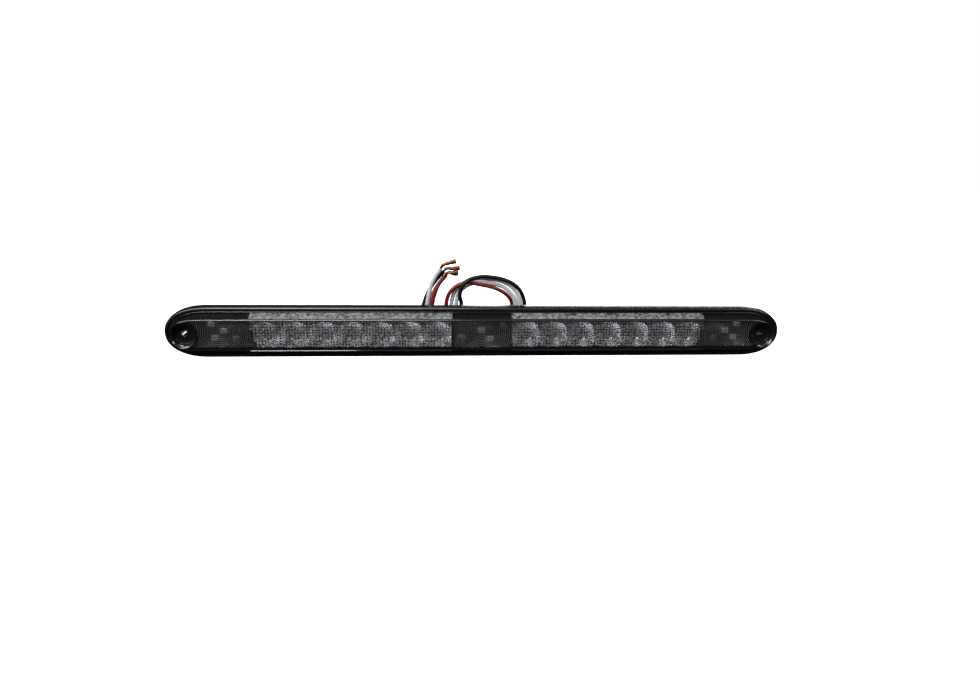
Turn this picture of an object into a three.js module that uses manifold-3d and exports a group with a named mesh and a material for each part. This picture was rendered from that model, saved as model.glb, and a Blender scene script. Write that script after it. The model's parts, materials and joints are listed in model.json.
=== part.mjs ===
// Slim LED third brake light for the rear of a cab or a body panel.
// Millimetres. Everything is drawn in the light's own front view (x right, y up, z towards the
// viewer, z = 0 on the mounting face) and the outer group stands it up, so +Z is up in the end.
import * as THREE from 'three';
import { mergeVertices } from 'three/addons/utils/BufferGeometryUtils.js';
import Module from 'manifold-3d';

const wasm = await Module();
wasm.setup();

// ---------------------------------------------------------------- driving dimensions
const BAR = { halfLength: 203.8, halfHeight: 16.9, nose: 27 };  // outline of the housing
const NOSE_POWER = 2.2;                // 2 would be an ellipse; more makes the nose fuller
const NOSE_STEPS = 18;                 // segments around each nose
const GAP = 0.3;                       // clearance between neighbouring pieces

const GASKET_THICKNESS = 1.6;
const BACK_PLATE_TOP = 3.4;            // z of the housing floor
const HOUSING_RIM = 9.4;               // z of the housing's front rim
const RIM_SHOULDER = 5.6;              // z where the side starts to lean in towards the rim
const RIM_LEAN = 0.3;                  // how far it has leaned in at the rim's rounding
const RIM_EDGE = 0.8;                  // rounding of the rim's outer edge
const WALL = 2.2;                      // housing wall at the rim
const LEDGE_INSET = 3.4;               // inner face of the thicker lower wall
const LEDGE_TOP = 6.0;                 // z of the ledge that carries the lens

const LENS_SKIRT_BACK = 6.9;
const LENS_SKIRT_FRONT = 8.3;
const LENS_FRONT = 16.8;
const LENS_WALL = 1.7;
const LENS_FRONT_WALL = 2.0;
const LENS_EDGE = 0.8;                 // rounding around the front face
const LENS_BASE_OUTLINE = { halfLength: 199.5, halfHeight: 13.2, nose: 22 };
const LENS_FRONT_OUTLINE = { halfLength: 198.6, halfHeight: 10.5, nose: 17 };

const SCREW_X = 190.2;                 // mounting screw centres, left and right
const SCREW_HOLE = 2.1;                // radius
const RECESS_FLOOR = 11.0;             // z of the floor of the screw recess
const RECESS_RADIUS = 6.6;
const RECESS_LIP = 8.4;                // radius of the recess on the front face
const RECESS_FUNNEL = 1.8;             // depth over which it widens to its lip
const RECESS_WALL = 2.2;
const BOSS_RADIUS = 5.6;
const BOSS_TOP = 9.0;

const WINDOW_X = 84.3;                 // centre of each brake window
const CELL_PITCH = 18.35;
const CELL_COUNT = 7;
const REFLECTOR = { halfWidth: 64.8, halfHeight: 8.6, back: 6.4, front: 14.4, floor: 7.2 };
const FLANGE = { back: 9.0, halfHeight: 10.6, below: 0.2 };   // sloping flange along its long edges
const CELL_RIM = 0.4;                  // half the wall between two cells
const CELL_END_RIM = 0.5;              // wall above and below a cell
const CELL_BASE = 3.0;                 // half the width of a cell's flat floor
const LED_SLOT = { halfWidth: 2.3, halfHeight: 2.0 };   // hole in the cell's floor round its LED
const LED_DROP = 3.2;                  // brake LEDs sit this far below the middle of their cells

const ID_X = 166.8;                    // centre of each end identification section
const BOARD = { halfLength: 182, halfHeight: 10, back: 5.0, front: 6.2, corner: 2 };
const BOARD_RIBS = [-172, -112, -56, 56, 112, 172];     // x of the ribs the board rests on
const BOARD_PILLAR = { radius: 3, hole: 1.4 };          // posts that take the board's screws
const PART_SEAT = BOARD.front + 0.1;   // z where parts stand on the board
const BOARD_SCREWS = [
  { name: 'left', x: -159.2, y: -5.0 },
  { name: 'center', x: 14.4, y: 3.6 },
  { name: 'right', x: 159.2, y: -5.0 },
];

const LEAD_DIAMETER = 2.8;
const LEAD_PITCH = 2.9;                // spacing of neighbouring leads
const LEAD_SIDES = 8;
const LEAD_STEPS = 56;
const GROMMET = { x: 26, halfLength: 6.2, halfHeight: 2.2, lip: 1.4, back: -3.0 };
const COPPER_RADIUS = 1.0;             // the bunched strands taken as one rod
const COPPER_STEPS = 6;

// Half width, half height and emitter radius of the two sorts of LED.
const BRAKE_LED = [1.75, 1.4, 1.15];
const ID_LED = [1.9, 1.7, 1.4];

// ---------------------------------------------------------------- colours
const COLOURS = {
  housing: { color: 0x17171a, roughness: 0.42, metalness: 0 },
  foam: { color: 0x111112, roughness: 0.95, metalness: 0 },
  smoked: { color: 0x4b4a4c, roughness: 0.08, metalness: 0, transparent: true, opacity: 0.45 },
  rubber: { color: 0x0f0f10, roughness: 0.8, metalness: 0 },
  chrome: { color: 0xd9d9dc, roughness: 0.15, metalness: 1 },
  board: { color: 0x15181a, roughness: 0.5, metalness: 0 },
  led: { color: 0xe9c660, roughness: 0.3, metalness: 0 },
  ceramic: { color: 0x2a2826, roughness: 0.6, metalness: 0 },
  aluminium: { color: 0xaeb0b4, roughness: 0.35, metalness: 0.9 },
  steel: { color: 0x8d8f93, roughness: 0.35, metalness: 1 },
  black: { color: 0x121214, roughness: 0.38, metalness: 0 },
  white: { color: 0xe6e5e8, roughness: 0.38, metalness: 0 },
  red: { color: 0xb5121b, roughness: 0.38, metalness: 0 },
  copper: { color: 0xb96a3b, roughness: 0.35, metalness: 1 },
};

// ---------------------------------------------------------------- outlines
function inset(outline, distance) {
  return {
    halfLength: outline.halfLength - distance,
    halfHeight: outline.halfHeight - distance,
    nose: outline.nose - distance,
  };
}

// Straight top and bottom edges with a superellipse nose on each end, counter-clockwise.
function barOutline({ halfLength, halfHeight, nose }) {
  const points = [];
  for (const side of [1, -1]) {
    for (let k = 0; k <= NOSE_STEPS; k += 1) {
      const angle = -Math.PI / 2 + (Math.PI * k) / NOSE_STEPS;
      const across = Math.max(Math.cos(angle), 0) ** (2 / NOSE_POWER);
      const up = Math.sign(Math.sin(angle)) * Math.abs(Math.sin(angle)) ** (2 / NOSE_POWER);
      points.push(new THREE.Vector2(side * (halfLength - nose + nose * across), side * halfHeight * up));
    }
  }
  return points;
}

function rectangle(halfWidth, halfHeight) {
  return [
    new THREE.Vector2(-halfWidth, -halfHeight),
    new THREE.Vector2(halfWidth, -halfHeight),
    new THREE.Vector2(halfWidth, halfHeight),
    new THREE.Vector2(-halfWidth, halfHeight),
  ];
}

// A rectangle with rounded corners; with corner = halfHeight it is a slot with round ends.
function roundedRectangle(halfWidth, halfHeight, corner, steps = 5) {
  const points = [];
  const centres = [[1, -1], [1, 1], [-1, 1], [-1, -1]];
  centres.forEach(([sx, sy], quarter) => {
    for (let k = 0; k <= steps; k += 1) {
      const angle = -Math.PI / 2 + (quarter + k / steps) * (Math.PI / 2);
      points.push(new THREE.Vector2(
        sx * (halfWidth - corner) + corner * Math.cos(angle),
        sy * (halfHeight - corner) + corner * Math.sin(angle),
      ));
    }
  });
  return points;
}

// ---------------------------------------------------------------- solids
// Joins rings of equal point counts into a closed solid; rings run from low z to high z.
function loft(rings) {
  const count = rings[0].outline.length;
  const position = rings.flatMap(({ outline, z }) => outline.flatMap((p) => [p.x, p.y, z]));
  const index = [];
  for (let ring = 0; ring + 1 < rings.length; ring += 1) {
    for (let k = 0; k < count; k += 1) {
      const a = ring * count + k;
      const b = ring * count + ((k + 1) % count);
      index.push(a, b, b + count, a, b + count, a + count);
    }
  }
  const top = (rings.length - 1) * count;
  for (const [a, b, c] of THREE.ShapeUtils.triangulateShape(rings[0].outline, [])) {
    index.push(a, c, b);
  }
  for (const [a, b, c] of THREE.ShapeUtils.triangulateShape(rings.at(-1).outline, [])) {
    index.push(top + a, top + b, top + c);
  }
  const geometry = new THREE.BufferGeometry();
  geometry.setAttribute('position', new THREE.Float32BufferAttribute(position, 3));
  geometry.setIndex(index);
  return geometry;
}

function prism(outline, back, front) {
  return loft([{ outline, z: back }, { outline, z: front }]);
}

function block(halfWidth, halfHeight, back, front) {
  return prism(rectangle(halfWidth, halfHeight), back, front);
}

// Turned solid about z; profile points are [radius, z] and start and end on the axis.
function turned(profile, segments = 24) {
  const points = profile.map(([radius, z]) => new THREE.Vector2(radius, z));
  return new THREE.LatheGeometry(points, segments).rotateX(Math.PI / 2);
}

function rod(radius, back, front, segments = 24) {
  return turned([[0, back], [radius, back], [radius, front], [0, front]], segments);
}

function at(geometry, x, y, z = 0) {
  return geometry.translate(x, y, z);
}

function toSolid(geometry) {
  const bare = geometry.clone();
  bare.deleteAttribute('normal');
  bare.deleteAttribute('uv');
  const merged = mergeVertices(bare, 1e-5);
  const solid = new wasm.Manifold(new wasm.Mesh({
    numProp: 3,
    vertProperties: new Float32Array(merged.attributes.position.array),
    triVerts: new Uint32Array(merged.index.array),
  }));
  return solid;
}

function toGeometry(solid) {
  const mesh = solid.getMesh();
  const geometry = new THREE.BufferGeometry();
  geometry.setAttribute('position', new THREE.BufferAttribute(new Float32Array(mesh.vertProperties), 3));
  geometry.setIndex(new THREE.BufferAttribute(new Uint32Array(mesh.triVerts), 1));
  return geometry;
}

function join(geometries) {
  return geometries.map(toSolid).reduce((sum, solid) => sum.add(solid));
}

function carve(solid, geometries) {
  return geometries.map(toSolid).reduce((rest, tool) => rest.subtract(tool), solid);
}

// ---------------------------------------------------------------- scene graph
const light = new THREE.Group();
light.rotation.x = Math.PI / 2;

function addPiece(name, geometry, look, x = 0, y = 0, z = 0) {
  const mesh = new THREE.Mesh(geometry, new THREE.MeshStandardMaterial(COLOURS[look]));
  mesh.name = name;
  mesh.position.set(x, y, z);
  light.add(mesh);
}

const BOTH_SIDES = [{ name: 'left', side: -1 }, { name: 'right', side: 1 }];

// ---------------------------------------------------------------- housing and seals
function grommetOutline(extra) {
  const halfHeight = GROMMET.halfHeight + extra;
  return roundedRectangle(GROMMET.halfLength + extra, halfHeight, halfHeight - 0.01);
}

function makeGasket() {
  const pad = toSolid(prism(barOutline(inset(BAR, 0.5)), 0, GASKET_THICKNESS));
  const holes = BOTH_SIDES.map(({ side }) => at(rod(SCREW_HOLE + 0.2, -1, 3), side * SCREW_X, 0));
  holes.push(at(prism(grommetOutline(0.8), -1, 3), GROMMET.x, 0));
  return toGeometry(carve(pad, holes));
}

function makeHousing() {
  const edge = 0.5;
  const shell = loft([
    { outline: barOutline(inset(BAR, 0.5)), z: GASKET_THICKNESS },
    { outline: barOutline(BAR), z: GASKET_THICKNESS + edge },
    { outline: barOutline(BAR), z: RIM_SHOULDER },
    { outline: barOutline(inset(BAR, RIM_LEAN)), z: HOUSING_RIM - RIM_EDGE },
    { outline: barOutline(inset(BAR, RIM_LEAN + RIM_EDGE)), z: HOUSING_RIM },
  ]);
  const open = HOUSING_RIM + 1;
  const tray = carve(toSolid(shell), [
    prism(barOutline(inset(BAR, WALL)), LEDGE_TOP, open),
    prism(barOutline(inset(BAR, LEDGE_INSET)), BACK_PLATE_TOP, open),
  ]);
  const sunk = BACK_PLATE_TOP - 0.4;
  const boardRest = BOARD.back - 0.1;
  const bosses = BOTH_SIDES.map(({ side }) => at(rod(BOSS_RADIUS, sunk, BOSS_TOP), side * SCREW_X, 0));
  const pillars = BOARD_SCREWS
    .map(({ x, y }) => at(rod(BOARD_PILLAR.radius, sunk, boardRest, 16), x, y));
  const ribs = BOARD_RIBS.map((x) => at(block(0.8, 11, sunk, boardRest), x, 0));
  const body = [...bosses, ...pillars, ...ribs].map(toSolid).reduce((sum, piece) => sum.add(piece), tray);
  return toGeometry(carve(body, [
    ...BOTH_SIDES.map(({ side }) => at(rod(SCREW_HOLE, 0, 10), side * SCREW_X, 0)),
    ...BOARD_SCREWS.map(({ x, y }) => at(rod(BOARD_PILLAR.hole, 2.6, 10, 16), x, y)),
    at(prism(grommetOutline(GAP), 0, 5), GROMMET.x, 0),
  ]));
}

function makeSeal() {
  const ring = toSolid(prism(barOutline(inset(BAR, WALL + GAP)), LEDGE_TOP + 0.1, LENS_SKIRT_BACK - 0.1));
  return toGeometry(carve(ring, [prism(barOutline(inset(BAR, LEDGE_INSET - 0.1)), 0, 10)]));
}

// ---------------------------------------------------------------- lens
function makeLens() {
  const dome = loft([
    { outline: barOutline(LENS_BASE_OUTLINE), z: LENS_SKIRT_BACK },
    { outline: barOutline(LENS_BASE_OUTLINE), z: LENS_SKIRT_FRONT },
    { outline: barOutline(LENS_FRONT_OUTLINE), z: LENS_FRONT - LENS_EDGE },
    { outline: barOutline(inset(LENS_FRONT_OUTLINE, LENS_EDGE)), z: LENS_FRONT },
  ]);
  const skirt = prism(barOutline(inset(BAR, WALL + GAP)), LENS_SKIRT_BACK, LENS_SKIRT_FRONT);
  const hollow = loft([
    { outline: barOutline(inset(LENS_BASE_OUTLINE, LENS_WALL)), z: LENS_SKIRT_BACK - 1 },
    { outline: barOutline(inset(LENS_BASE_OUTLINE, LENS_WALL)), z: LENS_SKIRT_FRONT },
    { outline: barOutline(inset(LENS_FRONT_OUTLINE, LENS_WALL)), z: LENS_FRONT - LENS_FRONT_WALL },
  ]);
  const shell = carve(join([skirt, dome]), [hollow]);
  const cupBack = RECESS_FLOOR - 1.5;
  const cups = BOTH_SIDES
    .map(({ side }) => at(rod(RECESS_RADIUS + RECESS_WALL, cupBack, LENS_FRONT, 32), side * SCREW_X, 0))
    .map((cup) => toSolid(cup).intersect(toSolid(dome)));
  const recess = [
    [0, RECESS_FLOOR], [RECESS_RADIUS, RECESS_FLOOR], [RECESS_RADIUS + 0.1, LENS_FRONT - RECESS_FUNNEL],
    [RECESS_LIP, LENS_FRONT], [RECESS_LIP, LENS_FRONT + 1], [0, LENS_FRONT + 1],
  ];
  const cutters = BOTH_SIDES.flatMap(({ side }) => [
    at(turned(recess, 32), side * SCREW_X, 0),
    at(rod(SCREW_HOLE, 5, 12), side * SCREW_X, 0),
  ]);
  return toGeometry(carve(cups.reduce((sum, cup) => sum.add(cup), shell), cutters));
}

// ---------------------------------------------------------------- light sources
function makeReflector() {
  const { halfWidth, halfHeight, back, front, floor } = REFLECTOR;
  const cells = [];
  for (let k = 0; k < CELL_COUNT; k += 1) {
    const x = (k - (CELL_COUNT - 1) / 2) * CELL_PITCH;
    cells.push(at(loft([
      { outline: rectangle(CELL_BASE, CELL_BASE).map((p) => p.setY(p.y - LED_DROP)), z: floor },
      { outline: rectangle(CELL_PITCH / 2 - CELL_RIM, halfHeight - CELL_END_RIM), z: front + 0.01 },
    ]), x, 0));
    cells.push(at(block(LED_SLOT.halfWidth, LED_SLOT.halfHeight, back - 1, floor + 1), x, -LED_DROP));
  }
  const flange = loft([
    { outline: rectangle(halfWidth, FLANGE.halfHeight), z: FLANGE.back },
    { outline: rectangle(halfWidth, halfHeight), z: front - FLANGE.below },
  ]);
  return toGeometry(carve(join([block(halfWidth, halfHeight, back, front), flange]), cells));
}

function makeLed(halfWidth, halfHeight, emitter) {
  const body = block(halfWidth, halfHeight, 0, 1.4);
  const dome = turned([[0, 1.0], [emitter, 1.0], [emitter, 1.55], [emitter * 0.7, 1.8], [0, 1.9]], 12);
  return toGeometry(join([body, dome]));
}

function makeBoard() {
  const { halfLength, halfHeight, back, front, corner } = BOARD;
  const plate = toSolid(prism(roundedRectangle(halfLength, halfHeight, corner), back, front));
  return toGeometry(carve(plate, BOARD_SCREWS.map(({ x, y }) => at(rod(BOARD_PILLAR.hole, 0, 10, 16), x, y))));
}

function makeBoardScrew() {
  return turned([
    [0, 3.6], [1.0, 3.9], [1.0, PART_SEAT], [2.7, PART_SEAT], [2.7, PART_SEAT + 0.9], [1.9, PART_SEAT + 1.6],
    [0, PART_SEAT + 1.7],
  ], 16);
}

function makeCapacitor() {
  return turned([[0, 0], [3.8, 0], [3.8, 5.9], [3.4, 6.3], [0, 6.3]], 20);
}

// ---------------------------------------------------------------- leads
function makeGrommet() {
  const plug = prism(grommetOutline(0), GROMMET.back, BACK_PLATE_TOP + 0.6);
  const lip = prism(grommetOutline(GROMMET.lip), BACK_PLATE_TOP + GAP, BOARD.back - GAP);
  return toGeometry(join([plug, lip]));
}

// The middle of the bundle: back out of the grommet, up behind the light, over in an arch, down
// behind the light again, round a turn and up to the stripped ends.
const BUNDLE = [
  [26, 0, -3.3], [26, 0, -6.5], [26, 1.6, -11], [26, 5.6, -14.2], [26.2, 11, -15.4],
  [25.2, 17, -15.4], [21.5, 23.4, -15], [15, 28, -14.6], [7, 30.2, -14.2], [-1.5, 30.4, -14],
  [-9.5, 27.8, -14], [-15.2, 22.4, -14], [-17.6, 15.4, -14], [-17.6, 7.5, -14], [-16.6, -0.5, -14],
  [-17.8, -8, -14], [-23, -13.4, -14], [-30, -13.8, -14], [-35.6, -9, -14], [-37.4, -1.5, -14],
  [-36.8, 6.5, -14], [-35.2, 14, -14], [-33.6, 21.5, -14], [-30.8, 29, -14], [-26.2, 35.6, -14],
];

// Each lead's place in the bundle at every point of it, in lead spacings: [across, towards viewer].
const LANES = {
  black: [
    [1.5, 0], [1.5, 0], [1.5, 0], [1.5, 0], [1.5, 0], [1.5, 0], [1.4, 0.3], [1.1, 0.5], [0.9, 0.5],
    [0.95, 1.1], [0.8, 1.65], [-0.4, 1.55], [-1.5, 0.5], [-1.45, 0], [-1.4, 0.4], [-0.8, 0.6],
    [-0.55, 0.55], [-0.9, 0.6], [-1.45, 0.25], [-1.4, -0.1], [-1.3, -0.4], [-1.15, -0.5], [-0.7, -0.6],
    [-0.1, -0.7], [0.2, -0.6],
  ],
  white_a: [
    [0.5, 0], [0.5, 0], [0.5, 0], [0.5, 0], [0.5, 0], [0.5, 0], [0.4, -0.35], [0.3, -0.5],
    [0.22, -0.55], [0.3, -0.55], [0.5, -0.55], [0.6, -0.5], [0.75, -0.4], [0.75, -0.2], [0.6, -0.4],
    [0.5, -0.5], [0.55, -0.55], [0.55, -0.55], [0.55, -0.55], [0.5, -0.55], [0.35, -0.6], [0.3, -0.65],
    [0.5, -0.62], [0.95, -0.6], [1.24, -0.5],
  ],
  white_b: [
    [-0.5, 0], [-0.5, 0], [-0.5, 0], [-0.5, 0], [-0.5, 0], [-0.5, 0], [-0.7, -0.2], [-0.72, -0.4],
    [-0.76, -0.5], [-0.7, -0.55], [-0.5, -0.55], [-0.4, -0.55], [-0.35, -0.4], [-0.35, -0.2],
    [-0.4, -0.4], [-0.5, -0.5], [-0.5, -0.55], [-0.55, -0.45], [-0.5, -0.1], [-0.4, 0.15], [-0.4, 0.4],
    [-0.4, 0.5], [-0.5, 0.5], [-0.65, 0.5], [-0.8, 0.5],
  ],
  red: [
    [-1.5, 0], [-1.5, 0], [-1.5, 0], [-1.5, 0], [-1.5, 0], [-1.5, 0], [-1.65, 0.3], [-1.65, 0.4],
    [-1.4, 0.5], [-0.9, 0.5], [0.5, 0.6], [1.5, 0.5], [1.95, 0.2], [1.85, 0.2], [1.4, 0.4], [0.8, 0.6],
    [0.55, 0.55], [0.6, 0.5], [0.7, 0.6], [0.75, 0.6], [0.75, 0.6], [0.75, 0.55], [0.8, 0.55],
    [0.9, 0.5], [0.95, 0.5],
  ],
};

const EXTRA_LENGTH = { black: 1.0, white_a: 0, white_b: 2.0, red: -0.6 };   // past the bundle's end

// Points of one lead: the bundle's points moved sideways, square to the direction of the bundle.
function leadPoints(name) {
  const middle = BUNDLE.map((p) => new THREE.Vector3(...p));
  const points = middle.map((point, k) => {
    const ahead = middle[Math.min(k + 1, middle.length - 1)];
    const behind = middle[Math.max(k - 1, 0)];
    const along = ahead.clone().sub(behind).normalize();
    const across = new THREE.Vector3(along.y + 0.001, -along.x, 0).normalize();
    const front = new THREE.Vector3().crossVectors(across, along);
    const [sideways, forwards] = LANES[name][k];
    return point.clone()
      .addScaledVector(across, sideways * LEAD_PITCH)
      .addScaledVector(front, forwards * LEAD_PITCH);
  });
  const end = points.at(-1).clone().sub(points.at(-2)).normalize();
  points.at(-1).addScaledVector(end, EXTRA_LENGTH[name]);
  return points;
}

function tube(curve, radius, sides, steps) {
  const ring = [];
  for (let k = 0; k < sides; k += 1) {
    const angle = (2 * Math.PI * k) / sides;
    ring.push(new THREE.Vector2(radius * Math.cos(angle), radius * Math.sin(angle)));
  }
  return new THREE.ExtrudeGeometry(new THREE.Shape(ring), { steps, extrudePath: curve, bevelEnabled: false });
}

// Stripped end: the strands leave the insulation along it and droop over to the right.
function copperCurve(end, direction, reach, rise) {
  const start = end.clone().addScaledVector(direction, GAP);
  return new THREE.CatmullRomCurve3([
    start,
    start.clone().addScaledVector(direction, 2.4),
    end.clone().add(new THREE.Vector3(reach * 0.62, rise * 0.78, 0)),
    end.clone().add(new THREE.Vector3(reach, rise, 0)),
  ], false, 'centripetal');
}

const COPPER_ENDS = { black: [10.8, 2.6], white_a: [7.6, 1.2], white_b: [10.3, 5.1], red: [8.9, 2.8] };

// ---------------------------------------------------------------- assembly
addPiece('mounting_gasket', makeGasket(), 'foam');
addPiece('rear_housing', makeHousing(), 'housing');
addPiece('lens_seal', makeSeal(), 'rubber');
addPiece('smoked_lens', makeLens(), 'smoked');
addPiece('circuit_board', makeBoard(), 'board');

for (const { name, side } of BOTH_SIDES) {
  addPiece(`reflector_${name}`, makeReflector(), 'chrome', side * WINDOW_X);
  for (let k = 0; k < CELL_COUNT; k += 1) {
    const x = side * WINDOW_X + (k - (CELL_COUNT - 1) / 2) * CELL_PITCH;
    addPiece(`brake_led_${name}_${k + 1}`, makeLed(...BRAKE_LED), 'led', x, -LED_DROP, PART_SEAT);
  }
}
// Identification LEDs sit at the middle of each ringed section and, on the ends, outwards of it.
const ID_LEDS = [
  { name: 'left_1', x: -ID_X, y: 0.7 }, { name: 'left_2', x: -ID_X - 7.7, y: 5.3 },
  { name: 'left_3', x: -ID_X - 6.1, y: -3.8 }, { name: 'center_1', x: 0, y: 0.9 },
  { name: 'center_2', x: 6.0, y: -4.8 }, { name: 'right_1', x: ID_X, y: 0.7 },
  { name: 'right_2', x: ID_X + 7.7, y: 5.3 }, { name: 'right_3', x: ID_X + 6.1, y: -3.8 },
];
for (const { name, x, y } of ID_LEDS) {
  addPiece(`id_led_${name}`, makeLed(...ID_LED), 'led', x, y, PART_SEAT);
}
for (const { name, x, y } of BOARD_SCREWS) {
  addPiece(`board_screw_${name}`, makeBoardScrew(), 'steel', x, y);
}

const RESISTORS = [
  { name: 'left', x: -ID_X + 12.2, y: 1.6 }, { name: 'right', x: ID_X - 12.2, y: 1.6 },
  { name: 'center_1', x: 13.2, y: -3.4 }, { name: 'center_2', x: -6.6, y: 6.4 },
];
for (const { name, x, y } of RESISTORS) {
  addPiece(`resistor_${name}`, block(2.6, 1.4, 0, 0.7), 'ceramic', x, y, PART_SEAT);
}
[['brake', 5.4], ['running', 1.6]].forEach(([name, y]) => {
  addPiece(`diode_${name}`, block(2.1, 1.3, 0, 2.1), 'ceramic', -13.6, y, PART_SEAT);
});
addPiece('filter_capacitor', makeCapacitor(), 'aluminium', -13.4, -5.0, PART_SEAT);
addPiece('lead_grommet', makeGrommet(), 'rubber', GROMMET.x);

for (const name of Object.keys(LANES)) {
  const curve = new THREE.CatmullRomCurve3(leadPoints(name), false, 'centripetal');
  addPiece(`lead_${name}`, tube(curve, LEAD_DIAMETER / 2, LEAD_SIDES, LEAD_STEPS), name.split('_')[0]);
  const copper = copperCurve(curve.getPoint(1), curve.getTangent(1), ...COPPER_ENDS[name]);
  addPiece(`lead_${name}_copper`, tube(copper, COPPER_RADIUS, LEAD_SIDES, COPPER_STEPS), 'copper');
}

const part = new THREE.Group();
part.add(light);

export default part;
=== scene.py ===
"""Third brake light: the finished look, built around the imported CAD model.

Shapes are drawn in the light's own front view, in millimetres: x to the right, up, and forward out
of the mounting face towards the viewer. place() turns such a point into the frame's metres.
"""

import json
import math

import bpy
from mathutils import Matrix, Vector
from mathutils.geometry import interpolate_bezier

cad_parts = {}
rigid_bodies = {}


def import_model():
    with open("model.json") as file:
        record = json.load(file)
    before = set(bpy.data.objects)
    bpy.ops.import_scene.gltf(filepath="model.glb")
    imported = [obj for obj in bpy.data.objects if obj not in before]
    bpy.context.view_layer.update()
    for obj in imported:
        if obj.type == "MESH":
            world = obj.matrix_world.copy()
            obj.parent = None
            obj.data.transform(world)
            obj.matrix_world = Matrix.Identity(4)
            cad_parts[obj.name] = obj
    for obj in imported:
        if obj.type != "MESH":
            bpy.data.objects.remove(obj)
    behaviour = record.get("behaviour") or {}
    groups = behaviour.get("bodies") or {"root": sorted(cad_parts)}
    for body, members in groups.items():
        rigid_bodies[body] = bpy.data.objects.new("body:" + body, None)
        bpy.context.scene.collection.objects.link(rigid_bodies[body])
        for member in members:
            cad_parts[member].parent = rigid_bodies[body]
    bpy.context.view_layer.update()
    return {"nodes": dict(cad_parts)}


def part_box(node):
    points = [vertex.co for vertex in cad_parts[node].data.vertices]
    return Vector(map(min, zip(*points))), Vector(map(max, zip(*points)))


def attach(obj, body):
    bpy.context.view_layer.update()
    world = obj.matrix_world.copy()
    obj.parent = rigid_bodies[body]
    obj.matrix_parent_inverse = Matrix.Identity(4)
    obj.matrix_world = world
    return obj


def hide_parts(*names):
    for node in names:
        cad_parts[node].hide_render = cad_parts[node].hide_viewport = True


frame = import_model()

MM = 0.001


def place(x, up, forward):
    """A point of the front view, in the frame's metres."""
    return Vector((x, -forward, up)) * MM


# ------------------------------------------------------------------ camera
CAMERA_AT = Vector((-22.4, -534.7, 143.8)) * MM
CAMERA_YAW, CAMERA_PITCH, CAMERA_ROLL = 5.725, -17.054, 1.428     # degrees
CAMERA_LENS = 30.08                                               # on a 36 mm sensor
CAMERA_SHIFT = (-0.0373, 0.0085)


def make_camera():
    camera = bpy.data.objects.new("camera", bpy.data.cameras.new("camera"))
    camera.data.lens = CAMERA_LENS
    camera.data.shift_x, camera.data.shift_y = CAMERA_SHIFT
    camera.data.clip_start = 0.01
    turn = (
        Matrix.Rotation(-math.radians(CAMERA_YAW), 3, "Z")
        @ Matrix.Rotation(math.radians(90 + CAMERA_PITCH), 3, "X")
        @ Matrix.Rotation(math.radians(CAMERA_ROLL), 3, "Z")
    )
    camera.matrix_world = Matrix.Translation(CAMERA_AT) @ turn.to_4x4()
    bpy.context.collection.objects.link(camera)
    bpy.context.scene.camera = camera


make_camera()


# ------------------------------------------------------------------ materials
def add_node(tree, kind, values=(), **settings):
    node = tree.nodes.new(kind)
    for key, value in settings.items():
        setattr(node, key, value)
    for key, value in dict(values).items():
        node.inputs[key].default_value = value
    return node


def grey(level):
    return (level, level, level, 1)


def plain_shader(name, values):
    """A new material's tree and its Principled shader, with fixed values set on the shader."""
    made = bpy.data.materials.new(name)
    made.use_nodes = True
    shader = made.node_tree.nodes["Principled BSDF"]
    for key, value in values.items():
        shader.inputs[key].default_value = value
    return made, made.node_tree, shader


def own_coordinates(tree, stretch=(1, 1, 1)):
    """The object's own coordinates in millimetres, stretched where a pattern runs one way."""
    where = add_node(tree, "ShaderNodeTexCoord")
    scaled = add_node(tree, "ShaderNodeMapping", {"Scale": [s / MM for s in stretch]})
    tree.links.new(where.outputs["Object"], scaled.inputs["Vector"])
    return scaled.outputs["Vector"]


def noise(tree, coordinates, size, detail=3.0):
    """Soft noise with features about size millimetres across."""
    texture = add_node(tree, "ShaderNodeTexNoise", {"Scale": 1 / size, "Detail": detail})
    tree.links.new(coordinates, texture.inputs["Vector"])
    return texture.outputs["Fac"]


NOISE_LOW, NOISE_HIGH = 0.3, 0.7       # the part of a pattern's 0 to 1 that is spread over a range


def remap(tree, value, low, high):
    """A pattern's value spread between low and high."""
    ranged = add_node(tree, "ShaderNodeMapRange", {
        "From Min": NOISE_LOW, "From Max": NOISE_HIGH, "To Min": low, "To Max": high,
    })
    tree.links.new(value, ranged.inputs["Value"])
    return ranged.outputs["Result"]


def tint(tree, value, dark, light):
    """A pattern's value turned into a colour, dark where it is low and light where it is high."""
    ramp = add_node(tree, "ShaderNodeValToRGB")
    low, high = ramp.color_ramp.elements
    low.position, high.position = NOISE_LOW, NOISE_HIGH
    low.color, high.color = dark, light
    tree.links.new(value, ramp.inputs["Fac"])
    return ramp.outputs["Color"]


def raise_grain(tree, shader, heights, height_mm):
    """Bumps of the given height in the shader's normal."""
    bump = add_node(tree, "ShaderNodeBump", {"Distance": height_mm * MM})
    tree.links.new(heights, bump.inputs["Height"])
    tree.links.new(bump.outputs["Normal"], shader.inputs["Normal"])


def moulded(name, dark, light, rough=(0.3, 0.4), fine_pattern=(0.3, 0.01), mottle=9.0, values=()):
    """A moulded or painted surface: mottled colour, uneven gloss and a fine grain (size, height)."""
    made, tree, shader = plain_shader(name, dict(values))
    here = own_coordinates(tree)
    patches = noise(tree, here, mottle)
    tree.links.new(tint(tree, patches, dark, light), shader.inputs["Base Color"])
    tree.links.new(remap(tree, noise(tree, here, mottle / 3), *rough), shader.inputs["Roughness"])
    size, height = fine_pattern
    raise_grain(tree, shader, noise(tree, here, size), height)
    return made


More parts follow.
